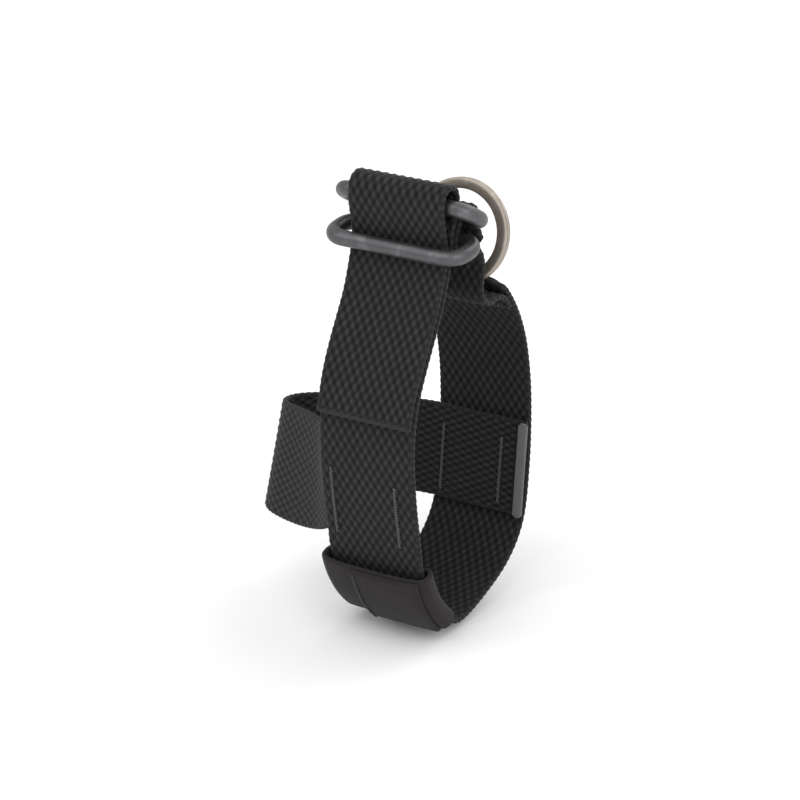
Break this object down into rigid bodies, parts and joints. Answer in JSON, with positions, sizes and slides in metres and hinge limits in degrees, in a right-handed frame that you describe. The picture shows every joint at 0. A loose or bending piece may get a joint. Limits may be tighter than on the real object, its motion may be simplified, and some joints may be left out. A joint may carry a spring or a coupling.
{
  "type": "esd wrist strap",
  "caption": "Webbing wrist strap: wrist loop closed by a double-ring cinch buckle, with a sewn cross loop, elastic keeper and split ring.",
  "frame": {"origin": "centre of the wrist loop", "axes": "+X along the loop's axis, which is the webbing's width; +Y from the front leg to the rear leg; +Z towards the buckle"},
  "size_m": [0.0628, 0.0535, 0.1058],
  "materials": {
    "webbing": "coarse woven nylon, matt",
    "sealed_edge": "heat-sealed nylon edge",
    "binding": "smooth folded hem",
    "elastic": "smooth knitted elastic",
    "thread": "polyester thread",
    "dark_thread": "black polyester thread",
    "buckle_wire": "satin gunmetal",
    "ring_wire": "antique nickel"
  },
  "bodies": {
    "strap": {"main_strap": "webbing", "cross_band": "webbing", "edge_tab": "binding", "front_stitches_left": "thread", "front_stitches_right": "thread", "rear_stitches_left": "thread", "rear_stitches_right": "thread", "flap_seam": "dark_thread"},
    "tail": {"strap_tail": "webbing", "tail_tip": "sealed_edge"},
    "lower_ring": {"lower_ring": "buckle_wire"},
    "upper_ring": {"upper_ring": "buckle_wire"},
    "split_ring": {"split_ring": "ring_wire"},
    "keeper": {"keeper_band": "elastic", "keeper_overlap": "elastic", "keeper_stitches": "dark_thread"}
  },
  "joints": [
    {"name": "tail_lift", "type": "hinge", "parent": "strap", "child": "tail", "pos_m": [0, -0.0103, 0.0385], "axis": [-1, 0, 0], "range_deg": [0, 20]},
    {"name": "lower_ring_tilt", "type": "hinge", "parent": "strap", "child": "lower_ring", "pos_m": [0, -0.0035, 0.041], "axis": [1, 0, 0], "range_deg": [-5, 2]},
    {"name": "upper_ring_tilt", "type": "hinge", "parent": "strap", "child": "upper_ring", "pos_m": [0, -0.0004, 0.045], "axis": [1, 0, 0], "range_deg": [-3, 3]},
    {"name": "split_ring_swing", "type": "hinge", "parent": "strap", "child": "split_ring", "pos_m": [0, 0.0084, 0.0272], "axis": [-1, 0, 0], "range_deg": [-6, 50]},
    {"name": "keeper_slide", "type": "hinge", "parent": "strap", "child": "keeper", "pos_m": [0, 0.008, -0.024], "axis": [1, 0, 0], "range_deg": [-5, 4.5]}
  ]
}
